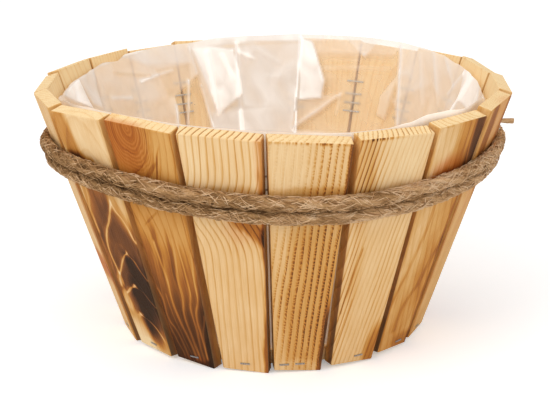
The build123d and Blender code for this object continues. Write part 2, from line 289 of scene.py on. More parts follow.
# The boards in order, seen from outside; the ones at the back repeat the kinds of the front
boardLooks = (
    {"tone": 0.2, "heart": (-40, -60, 0.02, 0.05), "scorchAndShadow": ((0.6, 0.5, 0.6, 0.5, 0.4),)},
    {
        "tone": 0.17, "side": 0.62, "line": 0.16,
        "scorchAndShadow": ((-0.1, 0.31, 1.1, 0.06, 0.16), (0.9, 0.45, 0.4, 0.5, 0.3)),
        "red": ((-0.1, 0.31, 1.2, 0.07, 0.8),),
    },
    {
        "heart": (5, 6.5, -0.02, 0.235), "ring": 5.2, "late": 0.72, "tone": 0.11, "side": 0.7,
        "line": 0.07, "bright": 0.06, "mottle": 0.14,
        "scorchAndShadow": (
            (-0.62, 0.9, 0.34, 0.2, 0.34, -4), (-0.35, 0.79, 0.85, 0.06, 0.5), (0.5, 0.775, 0.7, 0.04, 0.3),
            (0.1, 0.44, 1.4, 0.36, 0.64), (0.55, 0.23, 0.75, 0.2, 0.42), (0.75, 0.655, 0.5, 0.1, -0.22),
            (-0.98, 0.6, 0.14, 0.3, -0.22), (-0.9, 0.3, 0.3, 0.3, 0.1), (0.3, 0.445, 0.1, 0.012, -0.2),
            (0.1, 0.299, 0.2, 0.012, -0.3), (-0.72, 0.3, 0.16, 0.03, -0.3), (0.28, 0.415, 0.32, 0.05, 0.2),
            (0.05, 0.27, 0.3, 0.03, 0.16), (-0.75, 0.205, 0.22, 0.05, -0.3),
            (-0.55, 0.06, 0.75, 0.1, -0.24), (-0.1, 0.02, 0.8, 0.035, -0.2), (0.12, 0.09, 0.3, 0.07, 0.06),
            (-0.4, 0.04, 1.5, 0.16, 0.12),
        ),
        "strokes": (
            ((-17.1, 84.7, -18.2, 91.7, -18.5, 101.6, -16, 111.2, -15.3, 119), 0.9, 0.3),
            ((-10.6, 56, -12.9, 70.2, -11.9, 78.8, -7.2, 88.4, -0.1, 97.5, 4.9, 106, 9.5, 114, 10.5, 124),
             1.3, 0.45),
            ((25.5, 84.2, 22, 90.4, 20, 96.9, 16.6, 103, 11.1, 108.5, 9.5, 114), 1.2, 0.46),
            ((-12.7, 46, -12.2, 51, -6.5, 60, -0.2, 68.4, 5, 74, 8.3, 76.6), 1.1, 0.44),
            ((25, 54, 21.7, 60.5, 17.7, 65.6, 14.2, 71.9, 8.3, 76.8), 0.7, 0.36),
            ((-10.4, 33.1, -11.4, 36.6, -4.7, 44.5, 0, 48.4, 4, 50.8), 1.6, 0.46),
            ((24, 35, 22.6, 37.5, 16.4, 43.9, 11.6, 48.6, 4, 51), 0.7, 0.36),
            ((19.5, 11, 18.2, 14.1, 13.5, 21.1, 7.8, 25.4, -0.8, 28.2), 0.8, 0.42),
            ((-9, 1, -9, 12, -7.5, 20, -3, 26.2, 1, 28.4), 3, 0.3),
        ),
    },
    {
        "heart": (-64, -20, 0, 0), "ring": 4.6, "late": 0.66, "wobble": 1.2, "tone": 0.41,
        "line": 0.13, "bright": 0.05, "edge": 0.08, "fibre": 0.08, "side": 0.6, "mottle": 0.07, "end": 0.3,
        "knots": ((-7, 170, 0.56, 1.5, 27, 0.09),),
        "scorchAndShadow": (
            (0, -0.2, 2.4, 0.62, 0.5), (-0.45, 1, 0.75, 0.3, 0.04), (0.7, 0.93, 0.4, 0.12, -0.1),
            (0.35, 0.87, 0.16, 0.018, 0.26, 25), (0.05, 0.84, 0.3, 0.014, 0.12, 8),
            (0, 0.6, 1.2, 0.1, -0.04), (-0.4, 0.635, 0.3, 0.008, 0.1, 6), (-0.5, 0.5, 0.13, 0.14, 0.2, -6),
            (0.05, 0.47, 0.12, 0.12, 0.18, -4), (0.5, 0.45, 0.1, 0.1, 0.12), (-0.95, 0.4, 0.16, 0.25, 0.12),
            (0.92, 0.12, 0.2, 0.25, 0.16),
        ),
        "strokes": (
            ((-1.5, 4, -5.1, 22.2, -10.5, 34.6, -11.1, 48, -14.7, 59.5, -16.8, 76.8), 0.8, 0.2),
            ((4.5, 4, 1.7, 19.9, -2.3, 34.6, -4.3, 49.5, -4.4, 64.5, -6.4, 79, -8, 92), 1, 0.26),
            ((7, 4, 5.1, 18.8, 2.5, 39.6, 4.3, 51.4, 4.1, 66.3, 5.7, 85, 6, 96), 1, 0.26),
            ((10, 4, 9.2, 16.9, 9.3, 29.6, 8.6, 42.9, 10.3, 58.4, 10, 76.8, 9, 94), 0.9, 0.24),
            ((13, 6, 12, 25, 11.5, 39.7, 15.3, 54.8, 15.7, 68.8, 18.2, 88), 0.8, 0.24),
            ((12.5, 6, 13.1, 17.8, 13.9, 27.8, 17.2, 41), 0.7, 0.22),
            ((-4, 5, -8, 18, -12, 32, -16, 46), 0.6, 0.18), ((1.5, 4, -2, 20, -6, 36, -8, 52), 0.5, 0.14),
        ),
        "red": ((-0.5, 0.99, 0.7, 0.2, 0.9), (0, 0.01, 1.2, 0.04, 0.6)),
        "redColour": (232, 196, 176),
    },
    {
        "heart": (-95, -34, 0, 0), "ring": 3.8, "late": 0.6, "wobble": 0.5, "tone": 0.1,
        "line": 0.2, "edge": 0.05, "bend": (-9.1, 0.7, 0.092), "mottle": 0.06, "end": 1.5, "side": 0.72,
        "lines": ((0, 0.88, 1.3, 0.2, 0.14), (0.3, 0.62, 1, 0.1, 0.18)),
        "scorchAndShadow": (
            (0.62, 0.635, 0.75, 0.045, 0.33, -6), (1.02, 0.62, 0.2, 0.14, 0.22),
            (1.02, 0.2, 0.14, 0.6, 0.4), (0, 0.79, 1.2, 0.035, 0.13), (0, 0.3, 1.5, 0.5, 0.07),
            # dark strip down the right edge at the top: the edge's own char and painted shadow of the gap
            (1, 0.85, 0.1, 0.3, 0.2),
        ),
        "red": ((0.6, 0.64, 0.8, 0.07, 0.3), (1, 0.9, 0.16, 0.3, 0.4)),
    },
    {
        "heart": (-70, -46, 0.06, 0), "ring": 3.3, "late": 0.42, "wobble": 0.5, "tone": 0.17,
        "line": 0.07, "edge": 0.06, "dash": 0.62, "mottle": 0.06, "end": 0.25, "side": 0.72,
        "arris": (0.1, 1.1, 0.4),
        "lines": ((0.6, 0.84, 0.75, 0.22, 0.26), (0.2, 0.36, 1.5, 0.36, 0.36), (0.9, 0.3, 0.4, 0.5, 0.14)),
        "scorchAndShadow": (
            (-0.55, 0.92, 0.7, 0.25, -0.06), (0.2, 0.3, 1.3, 0.46, 0.17), (0, 0.79, 1.2, 0.03, 0.16),
            (0.97, 0.12, 0.12, 0.2, 0.5), (-0.7, 0.35, 0.3, 0.4, -0.06), (0.1, 0.02, 1.2, 0.04, -0.1),
            # dark strip down the right edge at the top: the edge's own char and painted shadow of the gap
            (1, 0.86, 0.08, 0.24, 0.5),
        ),
    },
    {
        "heart": (-112, -36, 0.14, 0), "ring": 3, "late": 0.5, "wobble": 0.6, "tone": 0.12,
        "line": 0.1, "edge": 0.04, "mottle": 0.06, "side": 0.66, "end": 0.8, "arris": (-0.5, 0.5, 0.55),
        "lines": ((-0.66, 0.9, 0.5, 0.24, 0.43), (-0.8, 0.35, 0.4, 0.5, 0.26), (0.6, 0.35, 0.5, 0.45, 0.12)),
        "scorchAndShadow": (
            (-0.75, 0.9, 0.35, 0.22, 0.12), (0.3, 0.9, 0.6, 0.25, -0.04), (0.9, 0.06, 0.45, 0.12, 0.32),
            (-0.55, 0.55, 0.3, 0.35, 0.06), (0, 0.77, 1.1, 0.03, 0.1), (0, 0.1, 1.4, 0.6, 0.05),
        ),
        "strokes": (((-13.8, 43.1, -11.4, 60.3, -9.4, 75, -7.4, 90), 0.4, -0.28),
                    ((-12.4, 18, -10.2, 34, -7.7, 52), 0.4, -0.16)),
    },
    {
        "heart": (46, -14, -0.16, 0.05), "ring": 5.2, "late": 0.5, "wobble": 1.4, "tone": 0.24,
        "line": 0.1, "edge": 0.06, "side": 0.66, "end": 0.3, "mottle": 0.14,
        "scorchAndShadow": (
            (-0.6, 0.92, 0.55, 0.22, -0.08), (-0.25, 0.775, 0.6, 0.045, 0.26), (0.6, 0.5, 0.6, 0.3, 0.12),
            (0.98, 0.35, 0.16, 0.5, 0.2), (0.6, 0.03, 0.8, 0.05, 0.16), (0, 1, 1, 0.015, 0.2),
            (0.2, 0.05, 1.3, 0.36, 0.13), (0.85, 0.9, 0.3, 0.3, 0.16),
        ),
        "strokes": (
            ((9, 120, 8, 132, 5, 150, 3, 170), 6, -0.18),
            ((20, 116, 19.5, 135, 18.5, 155, 17.5, 172), 6.5, -0.4),
            ((-15.4, 30, -13.4, 47.3, -8.7, 63.4, -5.4, 79.8, -2.8, 93.6, -2.5, 112), 1.8, -0.16),
            ((-14.5, 20, -10.4, 40, -4.5, 60, -0.5, 80, 2.5, 95, 4, 112), 3, 0.14),
            ((-2.3, 16.4, -0.4, 34.1, 9.5, 52.6, 14.2, 68.9, 20.7, 83), 2.6, -0.13),
        ),
        "red": ((-0.1, 0.79, 0.8, 0.08, 0.8),),
    },
    {
        "heart": (-80, -30, -0.05, 0), "ring": 2.4, "late": 0.5, "wobble": 0.6, "tone": 0.26,
        "line": 0.16, "end": 0.4,
        "scorchAndShadow": ((-0.45, 0.88, 0.4, 0.2, 0.36), (0.9, 0.85, 0.3, 0.3, 0.3), (-0.9, 0.35, 0.2, 0.5, 0.15)),
        "strokes": (((-22.5, 120, -23.5, 145, -24, 170), 1.2, 0.3),),
        "red": ((0.3, 0.8, 0.5, 0.4, 0.3),),
    },
    {"heart": (-50, -24, 0, 0.05), "ring": 4.2, "tone": 0.24, "scorchAndShadow": ((0.2, 0.3, 0.9, 0.35, 0.5),)},
    {"heart": (3, 5, 0, 0.2), "ring": 5, "late": 0.7, "bright": 0.5,
     "scorchAndShadow": ((0, 0.35, 1.3, 0.35, 0.7), (0.4, 0.02, 0.7, 0.1, -0.5))},
    {"heart": (-90, -30, 0, 0), "ring": 3.4, "tone": 0.14, "line": 0.3},
    {"heart": (-20, -16, 0.05, 0.16), "ring": 4.6, "tone": 0.34, "scorchAndShadow": ((0.3, 0.2, 1, 0.3, 0.4),)},
    {"heart": (-80, -40, 0.04, 0), "ring": 3.2, "tone": 0.16, "dash": 0.7, "late": 0.45, "line": 0.32},
    {"heart": (12, 4, -0.02, 0.18), "ring": 5.4, "tone": 0.2, "late": 0.68, "bright": 0.5,
     "scorchAndShadow": ((-0.2, 0.5, 1.2, 0.3, 0.6),)},
    {"heart": (70, -40, 0, 0), "ring": 3.8, "tone": 0.12, "line": 0.28, "bend": (4, 0.4, 0.2)},
    {"heart": (-60, -44, 0, 0), "ring": 4.4, "tone": 0.38, "late": 0.66,
     "knots": ((3, 60, 0.6, 1.4, 16, 0.16),), "scorchAndShadow": ((0, 0.85, 1.2, 0.25, 0.35),),
     "red": ((0.2, 0.36, 0.8, 0.14, 0.8),)},
    {"heart": (-84, -30, 0, 0), "ring": 2.8, "tone": 0.2, "line": 0.24},
    {"heart": (10, -12, 0.12, 0.1), "ring": 5.8, "tone": 0.28, "scorchAndShadow": ((0.5, 0.25, 0.7, 0.35, 0.4),)},
)


def inPairs(row):
    return list(zip(row[::2], row[1::2]))


def patches(start, across, up, warp, shapes):  # soft ellipses on the board's face, added together
    spot = start.node("CombineXYZ", None, {"X": across + warp * 0.3, "Y": up + warp * 0.05})
    total = None
    for placeAcross, placeUp, reachAcross, reachUp, strength, *turn in shapes:
        sockets = {
            "Vector": spot,
            "Location": (placeAcross, placeUp, 0),
            "Rotation": (0, 0, radians(sum(turn))),
            "Scale": (reachAcross * 1.3, reachUp * 1.3, 1),
        }
        local = start.node("Mapping", {"vector_type": "TEXTURE"}, sockets)
        shape = start.node("TexGradient", {"gradient_type": "SPHERICAL"}, {"Vector": local}, 1)
        share = shape.step(0, 0.62) * strength
        total = share if total is None else total + share
    return total


def drawStrokes(start, x, y, warp, strokes, charred):  # lines along the grain, each with a core and a glow
    reach = 40  # mm to either side that a curve can span
    total = None
    for places, halfWidth, strength in strokes:
        places = [(max(v, 0) / slope, (u + reach) / (2 * reach)) for u, v in inPairs(places)]
        low, high = places[0][0] * slope, places[-1][0] * slope
        curve = [(0, places[0][1])] + places + [(1, places[-1][1])]
        middle = start.node("FloatCurve", {"curve": curve}, {"Value": y / slope})
        away = abs(x + warp * 1.6 + reach - middle * (2 * reach))
        glow = 1 - away.step(halfWidth * 0.5, halfWidth * 4.5)
        share = (1 - away.step(halfWidth * 0.35, halfWidth * 1.25)) * 0.68 + glow ** 2 * 0.32
        ends = y.step(low - 2.5, low + 1) * (1 - y.step(high - 1, high + 2.5))
        share = share * ends * -strength
        if strength > 0:  # a light line only shows where the board is dark
            share = share * charred
        total = share if total is None else total + share
    return total


def woodFinish(name, board, look, seed):
    look = {**plainBoard, **look}
    material, start = newMaterial(name)
    place = start.node("TexCoord", output="Object")
    sockets = {"Location": board["origin"], "Rotation": board["turn"], "Scale": (mm, mm, mm)}
    local = start.node("Mapping", {"vector_type": "TEXTURE"}, {"Vector": place, **sockets})
    x, y, z = local.parts()
    up = y / slope
    half = up * (board["halfRim"] - board["halfFoot"]) + board["halfFoot"]
    across = (x - (1 - up) * board["sway"]) / half

    # growth rings round the heart of the tree, bent by wobble, sweep and knots
    heartAcross, heartOut, leanAcross, leanOut = look["heart"]
    sweep, sweepUp, sweepReach = look["bend"]
    slow = local.grains((16, 70, 16), seed * 7.3, 1)
    quick = local.grains((5, 24, 5), seed * 3.1, 2)
    sideways = x - (y * leanAcross + heartAcross + up.bell(sweepUp, sweepReach) * sweep)
    sideways = sideways + (slow - 0.5) * (look["wobble"] * 6)
    outwards = z - (y * leanOut + heartOut)
    ringDistance = (sideways * sideways + outwards * outwards) ** 0.5 + (quick - 0.5) * look["wobble"]
    phase = ringDistance / look["ring"]
    knotShade = None
    for knotAcross, knotUp, stretch, knotRing, reach, shade in look["knots"]:
        away = ((x - knotAcross) ** 2 + ((y - knotUp) * stretch) ** 2) ** 0.5 + (quick - 0.5) * 3
        near = away.bell(0, reach)
        atKnot = hypot(knotAcross - knotUp * leanAcross - heartAcross, knotUp * leanOut + heartOut)
        phase = near.blend(phase - (atKnot / look["ring"] - 1.5), away / look["ring"])
        knotShade = (1 - away.step(reach * 0.45, reach * 0.75)) * (away.wave(knotRing) - 0.4) * shade
    ring = start.maths("FLOOR", phase)
    part = phase - ring
    chance = start.node("TexWhiteNoise", {"noise_dimensions": "1D"}, {"W": ring + seed * 17})
    begin = chance * 0.16 + (look["late"] - 0.08)
    late = ((part - begin) / (1 - begin)).most(0) ** 1.3
    late = late * (1 - part.step(0.93, 1)) * (chance * 0.5 + 0.62)
    if look["dash"]:
        uneven = local.grains((3.2, 7, 3), seed, 2)
        cut = (y + x * 0.7 + (uneven - 0.5) * 9).wave(2.7)
        late = late * (1 - cut.step(0.3, 0.8) * look["dash"]) * 1.3
    fibre = local.grains((0.55, 26, 0.55), seed * 1.7, 3, 0.65)
    speckle = local.grains((0.5, 0.9, 0.5), seed * 2.3, 2)

    # how far the flame went: outer face, the sides' outer part, hardly the ends and the inside
    warp = (slow - 0.5) + (quick - 0.5) * 0.8
    rough = local.grains((9, 22, 9), seed * 5.9, 3)
    tone = (rough - 0.5) * (look["mottle"] * 2) + look["tone"]
    if look["scorchAndShadow"]:
        tone = tone + patches(start, across, up, warp, look["scorchAndShadow"])
    if look["strokes"]:
        tone = tone + drawStrokes(start, x, y, warp, look["strokes"], tone.step(0.3, 0.66))
    rim = abs(across).step(0.86, 1)
    tone = tone + rim * look["edge"]
    deep = tone.step(0.42, 0.78)
    lineDepth = look["line"]
    if "lines" in look:
        lineDepth = patches(start, across, up, warp, look["lines"]) + lineDepth
    tone = tone + late * deep.blend(lineDepth * 1.2, -look["bright"])
    if knotShade:
        tone = tone + knotShade
    tone = tone + (fibre - 0.5) * (look["fibre"] * 2.4)
    topLine = y - board["top"] + across * board["slant"]
    if "arris" in look:
        middle, reach, strength = look["arris"]
        ragged = local.grains((1.6, 40, 40), seed * 4.1, 2).step(0.38, 0.6)
        tone = tone + ragged * topLine.bell(-0.3, 1.1) * across.bell(middle, reach) * strength
    front = z.step(-1, -0.25)
    sideFace = abs(x - (1 - up) * board["sway"]) - half
    side = sideFace.step(-0.8, -0.25)
    depth = (z / (tub["boardThickness"] / mm) + 1).step(0, 0.9)
    sideTone = depth * look["side"] * (1.25 - up * 0.75) + (1 - depth) * 0.3
    sideTone = sideTone + (rough - 0.5) * 0.3 + (fibre - 0.5) * 0.2 + late * 0.1
    top = topLine.step(-2.2, -0.4)
    flamed = front.blend(side * sideTone, tone)
    cover = front.most(side * 0.9)
    flameColour = flamed.ramp(flameStops)
    endGrain = top * (late * look["end"] + (speckle - 0.5) * 1.1)
    raw = late * 0.25 + (fibre - 0.5) * 0.5 + 0.16 + endGrain + (rough - 0.5) * 0.3
    rawColour = raw.ramp(rawStops)
    colour = cover.tint("MIX", rawColour, flameColour)
    if look["red"]:
        red = patches(start, across, up, warp, look["red"]) * front.most(top * z.step(-7, -1))
        colour = red.tint("MULTIPLY", colour, linear(*look["redColour"]))
    darkness = flamed * cover
    roughness = darkness * 0.12 + 0.55 + (fibre - 0.5) * 0.2
    height = late * 0.9 + fibre * 0.7 + speckle * 0.15 + top * speckle * 0.5
    bump = start.node("Bump", None, {"Strength": 0.55, "Distance": 0.0005, "Height": height})
    sockets = {"Base Color": colour, "Roughness": roughness, "Normal": bump, "Specular IOR Level": 0.12}
    return finished(material, start, sockets)


def dressStaves():
    for index, look in enumerate(boardLooks):
        name = f"stave_{index + 1:02d}"
        dress(nodes[name], woodFinish(f"flamedPine{index + 1:02d}", staveFrame(index), look, index + 1))
    print("staves dressed")


dressStaves()

baseLook = {"heart": (-40, -160, 0, 0), "ring": 4.2, "tone": 0.1, "side": 0}


def dressBase():
    flat = {
        "origin": Vector((0, 0, 0)), "turn": (radians(90), 0, radians(24)),
        "halfRim": 400, "halfFoot": 400, "sway": 0, "top": 900, "slant": 0,
    }
    dress(nodes["base_board"], woodFinish("rawPineBase", flat, baseLook, 31))


dressBase()


def wireFinish():
    material, start = newMaterial("galvanisedWire")
    place = start.node("TexCoord", output="Object")
    spots = place.grains((0.0006, 0.0006, 0.0006), 0, 3)
    colour = spots.step(0.35, 0.7).tint("MIX", linear(186, 184, 182), linear(132, 128, 126))
    sockets = {"Base Color": colour, "Metallic": 0.8, "Roughness": spots * 0.3 + 0.24}
    return finished(material, start, sockets)


wire = wireFinish()
dress(nodes["base_staples"], wire)
dress(nodes["joint_staples"], wire)
print("base and staples dressed")

# Two turns of jute rope, three strands laid right-handed, matted with short fibres
rope = {
    "diameter": 8.6 * mm,
    "turnGap": 0.6 * mm,
    "turns": 2,
    "seat": 0.3 * mm,
    "middle": 121.4 * mm,
    "wave": 2 * mm,
    "waveShares": ((-0.1, -0.5), (-0.6, -0.9), (-1.05, -0.55)),
    "startAzimuth": 97,
    "slack": 0.8 * mm,
    "strands": 3,
    "strandRadius": 2.5 * mm,
    "strandOffset": 2 * mm,
    "lay": 66 * mm,
    "yarns": 6,
    "sides": 21,
    "step": 1.7 * mm,
    "samples": 1800,
    "pressed": 0.86,  # the rope is pressed flat against the staves
    "pull": 0.8 * mm,  # towards the staves, and twice that at both sides
    "fibres": 5200,
    "fibreRadius": 0.25 * mm,
    "fibreReach": (4, 11),  # mm
    "hairs": 360,  # of which every fourth stands at one of the rope's ends
    "hairRadius": 0.08 * mm,
    "hairReach": (7, 18),
    "hairLift": (0.8, 3.4),
}


def ropeCentre(turns):
    drop = (rope["diameter"] + rope["turnGap"]) * cos(lean)
    front = turns - rope["startAzimuth"] / 360
    eased = front - sin(2 * pi * front) / (2 * pi)
    azimuth = rope["startAzimuth"] - 360 * turns
    angle = radians(azimuth)
    wave = sum(
        a * cos(count * angle) + b * sin(count * angle)
        for count, (a, b) in enumerate(rope["waveShares"], 1)
    )
    height = rope["middle"] + rope["wave"] * wave + drop * ((rope["turns"] - 1) / 2 - eased)
    share = height / tub["rimHeight"]
    board = staveFrame(0)
    half = (board["halfFoot"] + (board["halfRim"] - board["halfFoot"]) * share) * mm
    slack = rope["slack"] * sin(angle) ** 2
    reach = hypot(outerRadius(height), half) + (rope["diameter"] / 2 + rope["seat"]) / cos(lean) + slack
    return radial(azimuth) * reach + Vector((0, 0, height))


ropePath = [ropeCentre(rope["turns"] * i / rope["samples"]) for i in range(rope["samples"] + 1)]
ropeLength = sum((b - a).length for a, b in zip(ropePath, ropePath[1:]))


def ropeFrame(turns):  # centre, away from the tub, up
    place = min(max(turns / rope["turns"] * rope["samples"], 0), rope["samples"] - 0.001)
    i = int(place)
    before, after = ropePath[i], ropePath[i + 1]
    centre = before.lerp(after, place - i)
    along = (ropePath[min(i + 3, rope["samples"])] - ropePath[max(i - 2, 0)]).normalized()
    out = Vector((centre.x, centre.y, 0)).normalized()
    out = (out - along * out.dot(along)).normalized()
    return centre, out, along.cross(out)


def meshPiece(name, points, faces, uvs=None, shade=None):
    mesh = bpy.data.meshes.new(name)
    mesh.from_pydata(points, [], faces)
    if uvs:
        layer = mesh.uv_layers.new(name="UVMap")
        for loop in mesh.loops:
            layer.data[loop.index].uv = uvs[loop.vertex_index]
    if shade:
        attribute = mesh.attributes.new("shade", "FLOAT", "POINT")
        attribute.data.foreach_set("value", shade)
    mesh.polygons.foreach_set("use_smooth", [True] * len(mesh.polygons))
    mesh.update()
    piece = bpy.data.objects.new(name, mesh)
    bpy.context.scene.collection.objects.link(piece)
    return piece


def addTube(points, faces, rings):  # rings of equal length, joined in order, with closed ends
    first = len(points)
    sides = len(rings[0])
    for circle in rings:
        points.extend(circle)
    for i in range(len(rings) - 1):
        for j in range(sides):
            a = first + i * sides + j
            b = first + i * sides + (j + 1) % sides
            faces.append((a, b, b + sides, a + sides))
    faces.append(tuple(first + j for j in reversed(range(sides))))
    faces.append(tuple(first + (len(rings) - 1) * sides + j for j in range(sides)))


def ropeSurface(centre, out, upwards, around, radius):  # a place round the rope, pressed towards the staves
    across = out * (cos(around) * radius * rope["pressed"] - rope["pull"] * (1 + out.x ** 2))
    return centre + across + upwards * (sin(around) * radius)


def paintedGapShade(turns, around):  # painted shade: a broken dark line in the crevice where the two turns lie on each other
    travelled = turns * ropeLength / rope["turns"]
    facing = -pi / 2 if turns < 1 else pi / 2
    away = abs((around - facing + pi) % (2 * pi) - pi)
    blotch = 0.6 + 0.9 * waver((travelled * 70, 4, turns < 1))
    return smooth(1, 0.3, away) * min(max(blotch, 0.1), 1)


def makeStrands():
    points, faces, uvs, shade = [], [], [], []
    count = round(ropeLength / rope["step"])
    for strand in range(rope["strands"]):
        rings = []
        for i in range(count + 1):
            travelled = ropeLength * i / count
            turns = rope["turns"] * i / count
            centre, out, upwards = ropeFrame(turns)
            uneven = waver((travelled * 14, 2, 1)) * 0.9
            angle = 2 * pi * (travelled / rope["lay"] + strand / rope["strands"]) + uneven
            stray = 0.5 * mm * waver((travelled * 45, strand * 9, 3))
            swell = 1 + 0.2 * waver((travelled * 60, strand * 5, 0))
            offset = rope["strandOffset"] + stray
            circle = []
            for j in range(rope["sides"]):
                around = 2 * pi * j / rope["sides"]
                twist = around - travelled / rope["lay"] * 2 * pi * 1.6
                lobe = abs(cos(twist * rope["yarns"] / 2))
                ragged = waver((travelled * 300, around * 1.5, strand * 7))
                radius = rope["strandRadius"] * swell * (0.78 + 0.12 * lobe + 0.2 * ragged)
                aside = offset * cos(angle) + radius * cos(around)
                above = offset * sin(angle) + radius * sin(around)
                around = atan2(above, aside)
                fromMiddle = hypot(aside, above)
                circle.append(ropeSurface(centre, out, upwards, around, fromMiddle))
                uvs.append((travelled / mm, j / rope["sides"]))
                # painted shade: the tone is darker in the grooves between the yarns and along the gap
                # between the turns
                shade.append(0.05 + 0.25 * lobe - 0.5 * paintedGapShade(turns, around))
            rings.append(circle)
        addTube(points, faces, rings)
    print("strands", len(faces), "rope length", round(ropeLength, 3))
    return meshPiece("ropeStrands", points, faces, uvs, shade)


def addFibre(points, faces, shade, path, radius, tone):
    rings = []
    for i, place in enumerate(path):
        ahead = path[min(i + 1, len(path) - 1)] - path[max(i - 1, 0)]
        side = ahead.cross(Vector((0.3, 0.2, 1))).normalized()
        other = ahead.cross(side).normalized()
        thin = radius * (0.3 if i in (0, len(path) - 1) else 1)
        rings.append([place + (side * cos(a) + other * sin(a)) * thin for a in (0, 2.09, 4.19)])
        shade.extend([tone] * 3)
    addTube(points, faces, rings)


def makeFibres(name, seed, hairs):  # short tufts lying every way on the rope, and a few long loose hairs
    rng = random.Random(seed)
    points, faces, shade = [], [], []
    for k in range(rope["fibres"] + hairs):
        loose = k >= rope["fibres"]
        frayed = loose and k % 4 == 0
        start = rng.choice((0.006, 0.994)) + rng.uniform(-0.01, 0.01) if frayed else rng.random()
        reach = rng.uniform(*rope["hairReach" if loose else "fibreReach"]) * mm
        angle = rng.uniform(0, 2 * pi)
        cross = rng.gauss(0, 0.9) if loose else rng.choice((-0.42, 0.5)) + rng.gauss(0, 0.28)
        lift = (rng.uniform(*rope["hairLift"]) if loose else abs(rng.gauss(0, 0.3))) * mm
        bow = rng.uniform(-1, 1) * (1.6 if loose else 0.7) * mm
        depth = rng.uniform(-0.45, 0.1) * mm
        dark = 0
        path = []
        for i in range(5):
            share = i / 4
            turns = min(max(start + reach / ropeLength * (share - 0.5) * cos(cross), 0), 1) * rope["turns"]
            centre, out, upwards = ropeFrame(turns)
            around = angle + sin(cross) * reach * share / (rope["diameter"] / 2)
            rise = lift * (share ** 2 if loose else (2 * share - 1) ** 2)
            place = ropeSurface(centre, out, upwards, around, rope["diameter"] / 2 + depth + rise)
            path.append(place + upwards * bow * sin(pi * share))
            dark = max(dark, paintedGapShade(turns, around))
        # painted shade: fibres that lie along the gap between the turns are darker
        tone = rng.uniform(0.15, 1) - 0.75 * dark
        thickness = rope["hairRadius"] if loose else rope["fibreRadius"] * rng.uniform(0.6, 1.3)
        addFibre(points, faces, shade, path, thickness, tone)
    print(name, len(faces))
    return meshPiece(name, points, faces, None, shade)


juteStops = (
    (0, (62, 42, 26)), (0.25, (122, 88, 54)), (0.55, (174, 133, 88)), (0.8, (208, 166, 120)),
    (1, (228, 194, 154)),
)


def juteFinish(name, stranded):
    material, start = newMaterial(name)
    tone = start.node("Attribute", {"attribute_name": "shade"}, None, "Fac")
    place = start.node("TexCoord", output="Object")
    clumps = place.grains((0.009, 0.009, 0.003), 0, 2)
    patch = place.grains((0.04, 0.04, 0.009), 8, 1)
    fine = place.grains((0.0009, 0.0009, 0.0009), 5, 2, 0.6)
    right = place.parts()[0].step(-0.03, 0.09) * 0.26
    # the shade attribute brings each strand's and fibre's own tone together with painted shade in the
    # grooves and along the gap between the turns
    shadeLevel = tone * 0.66 + (clumps - 0.5) * 0.8 + (fine - 0.5) * 0.4
    shadeLevel = shadeLevel + (patch - 0.5) * 0.5 + right + 0.33
    colour = shadeLevel.ramp(juteStops)
    sockets = {"Base Color": colour, "Roughness": 0.92, "Specular IOR Level": 0.1}
    if stranded:
        uv = start.node("TexCoord", output="UV")
        hair = uv.grains((2.4, 0.05, 1), 3, 3, 0.7)
        sockets["Normal"] = start.node("Bump", None, {"Strength": 0.9, "Distance": 0.0008, "Height": hair})
    return finished(material, start, sockets)


ropeStrands = makeStrands()
dress(ropeStrands, juteFinish("juteStrands", True))
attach(ropeStrands, body)
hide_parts("rope")
juteFibre = juteFinish("juteFibres", False)
for name, seed, hairs in (("ropeFibres", 11, rope["hairs"]), ("ropeFibresMore", 12, 0)):
    fibres = makeFibres(name, seed, hairs)
    dress(fibres, juteFibre)
    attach(fibres, body)
print("rope made")

# Loose film bag: it stands on the base board, follows the wall in flat folds and ends at an uneven edge
film = {
    "clearance": 1.2 * mm,
    "floor": 12.6 * mm,
    "columns": 660,
    "floorRows": 12,
    "wallRows": 104,
    "folds": 36,
    "foldShares": (0, 0.7, 1, 1, 0.8, 0.3),  # of the fold depth, from the foot to the edge
    "foldDepth": 4 * mm,
    "foldMix": (12.9898, 78.233, 43758.5453),
    "crumple": (11 * mm, 14 * mm, 1.3 * mm),  # facet across, facet up, depth
    "shell": (23 * mm, 31 * mm, 1.6 * mm),
    "middleRadius": 130 * mm,
    "paneHeight": 135 * mm,  # where the panes' azimuths are measured in mm
    "front": (50, 75),  # degrees to either side where the plain, milky front gives way to the panes
    "milk": 0.42,  # of the back, and of the front in the next line
    "frontMilk": 0.9,
    "flatRound": 490 * mm,  # width of the round cut that it is folded from
    "edge": (  # azimuth and height of the film's edge, mm
        (0, 163), (8, 161.6), (18, 160.8), (27, 161), (33, 162.6), (39, 165.6), (45, 165.4), (53, 163),
        (58, 163.4), (62, 165), (70, 160), (80, 153), (90, 152.5), (99, 156.6), (107, 158.8), (114, 160.6),
        (122, 163.4), (131, 165.1), (140, 166.3), (150, 166.6), (160, 166.3), (172, 166.1), (184, 164.9),
        (196, 164.4), (207, 162.1), (215, 161.8), (223, 161), (229, 160.5), (233, 157.1), (239, 158.1),
        (245, 156.2), (249, 154.9), (256, 154.2), (264, 152.6), (270, 152.3), (285, 157), (300, 163),
        (313, 165.6), (327, 166), (339, 165), (349, 164.2), (360, 163),
    ),
}
